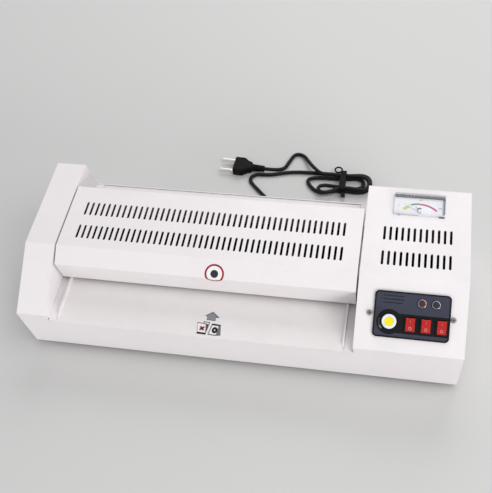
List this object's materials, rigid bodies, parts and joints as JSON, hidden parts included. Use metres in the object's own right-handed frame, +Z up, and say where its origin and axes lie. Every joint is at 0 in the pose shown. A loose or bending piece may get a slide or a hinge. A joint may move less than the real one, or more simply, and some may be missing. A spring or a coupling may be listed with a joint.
{
  "type": "laminator",
  "caption": "Table-top roller laminator in a white sheet-metal case with a hinged vented cover, driven rollers, a control panel, a temperature meter and a tied mains cord.",
  "frame": {"origin": "on the table under the middle of the case, measured without the cord", "axes": "+X along the machine towards the control end, +Y from the feed side to the exit side, +Z up"},
  "size_m": [0.504, 0.3604, 0.1326],
  "materials": {
    "white_sheet": "semi-gloss powder coat",
    "bare_steel": "zinc plated",
    "screw_steel": "nickel plated",
    "aluminium": "extruded",
    "silicone": "ground silicone rubber",
    "black_rubber": "soft",
    "gear_plastic": "acetal",
    "ceramic": "steatite",
    "bush_plastic": "heat resistant",
    "board": "printed board",
    "panel": "fine grain",
    "black_plastic": "moulded",
    "red_paddle": "translucent",
    "chrome": "polished",
    "red_lens": "tinted",
    "dark_lens": "tinted",
    "white_plastic": "moulded",
    "yellow_cap": "moulded",
    "dial_white": "printed plate",
    "clear_cover": "clear",
    "needle_black": "matt",
    "cord_black": "satin sheath"
  },
  "bodies": {
    "case": {"base_pan": "white_sheet", "case_screws": "screw_steel", "control_board": "board", "control_panel": "panel", "cord_gland": "black_rubber", "cord_hank": "cord_black", "cord_lead": "cord_black", "cord_tail": "cord_black", "cord_tie": "black_plastic", "exit_tray": "white_sheet", "feed_tray": "white_sheet", "feet": "black_rubber", "gear_motor": "bare_steel", "heater_insulators": "ceramic", "heating_lamp_lens": "red_lens", "hinge_pins": "bare_steel", "lamp_bezels": "chrome", "left_end_cover": "white_sheet", "left_side_plate": "bare_steel", "lower_heater_shoe": "aluminium", "meter_base": "white_plastic", "meter_cover": "clear_cover", "meter_dial": "dial_white", "motor_bracket": "bare_steel", "plug_body": "black_plastic", "plug_pins": "chrome", "potentiometer": "bare_steel", "pressure_springs": "bare_steel", "ready_lamp_lens": "dark_lens", "right_housing": "white_sheet", "right_side_plate": "bare_steel", "roller_bushes": "bush_plastic", "switch_bodies": "black_plastic", "thermostats": "bare_steel", "tie_rods": "bare_steel", "upper_heater_shoe": "aluminium"},
    "top_cover": {"top_cover": "white_sheet"},
    "front_lower_roller": {"front_lower_shaft": "bare_steel", "front_lower_sleeve": "silicone", "front_lower_gear": "gear_plastic"},
    "front_upper_roller": {"front_upper_shaft": "bare_steel", "front_upper_sleeve": "silicone", "front_upper_gear": "gear_plastic"},
    "rear_lower_roller": {"rear_lower_shaft": "bare_steel", "rear_lower_sleeve": "silicone", "rear_lower_gear": "gear_plastic"},
    "rear_upper_roller": {"rear_upper_shaft": "bare_steel", "rear_upper_sleeve": "silicone", "rear_upper_gear": "gear_plastic"},
    "idler": {"idler_gear": "gear_plastic"},
    "pinion": {"motor_pinion": "gear_plastic"},
    "power_rocker": {"power_rocker": "red_paddle"},
    "heat_rocker": {"heat_rocker": "red_paddle"},
    "direction_rocker": {"direction_rocker": "red_paddle"},
    "knob": {"knob_shaft": "bare_steel", "temperature_knob": "white_plastic", "knob_cap": "yellow_cap"},
    "needle": {"meter_needle": "needle_black"}
  },
  "joints": [
    {"name": "cover_hinge", "type": "hinge", "parent": "case", "child": "top_cover", "pos_m": [-0.04085, 0.048, 0.084], "axis": [-1, 0, 0], "range_deg": [0, 80]},
    {"name": "front_lower_spin", "type": "hinge", "parent": "case", "child": "front_lower_roller", "pos_m": [-0.04085, -0.0165, 0.06185], "axis": [-1, 0, 0], "continuous": true},
    {"name": "front_upper_spin", "type": "hinge", "parent": "case", "child": "front_upper_roller", "pos_m": [-0.04085, -0.0165, 0.08815], "axis": [-1, 0, 0], "continuous": true},
    {"name": "rear_lower_spin", "type": "hinge", "parent": "case", "child": "rear_lower_roller", "pos_m": [-0.04085, 0.0335, 0.06185], "axis": [-1, 0, 0], "continuous": true},
    {"name": "rear_upper_spin", "type": "hinge", "parent": "case", "child": "rear_upper_roller", "pos_m": [-0.04085, 0.0335, 0.08815], "axis": [-1, 0, 0], "continuous": true},
    {"name": "idler_spin", "type": "hinge", "parent": "case", "child": "idler", "pos_m": [-0.04085, 0.0085, 0.06185], "axis": [-1, 0, 0], "continuous": true},
    {"name": "pinion_spin", "type": "hinge", "parent": "case", "child": "pinion", "pos_m": [-0.04085, 0.0085, 0.04385], "axis": [-1, 0, 0], "continuous": true},
    {"name": "power_rocker_tilt", "type": "hinge", "parent": "case", "child": "power_rocker", "pos_m": [0.1912, -0.08026, 0.09978], "axis": [-1, 0, 0], "range_deg": [0, 20]},
    {"name": "heat_rocker_tilt", "type": "hinge", "parent": "case", "child": "heat_rocker", "pos_m": [0.2077, -0.08026, 0.09978], "axis": [-1, 0, 0], "range_deg": [0, 20]},
    {"name": "direction_rocker_tilt", "type": "hinge", "parent": "case", "child": "direction_rocker", "pos_m": [0.2242, -0.08026, 0.09978], "axis": [-1, 0, 0], "range_deg": [0, 20]},
    {"name": "knob_turn", "type": "hinge", "parent": "case", "child": "knob", "pos_m": [0.1688, -0.08034, 0.10161], "axis": [0, 0.5301, -0.8479], "range_deg": [0, 260]},
    {"name": "needle_swing", "type": "hinge", "parent": "case", "child": "needle", "pos_m": [0.1923, 0.0521, 0.1276], "axis": [0, 0, -1], "range_deg": [0, 120]}
  ],
  "couplings": [
    {"joint": "front_upper_spin", "follows": "front_lower_spin", "ratio": -1},
    {"joint": "rear_lower_spin", "follows": "front_lower_spin", "ratio": 1},
    {"joint": "rear_upper_spin", "follows": "front_lower_spin", "ratio": -1},
    {"joint": "idler_spin", "follows": "front_lower_spin", "ratio": -1.0833},
    {"joint": "pinion_spin", "follows": "front_lower_spin", "ratio": 2.1667}
  ]
}
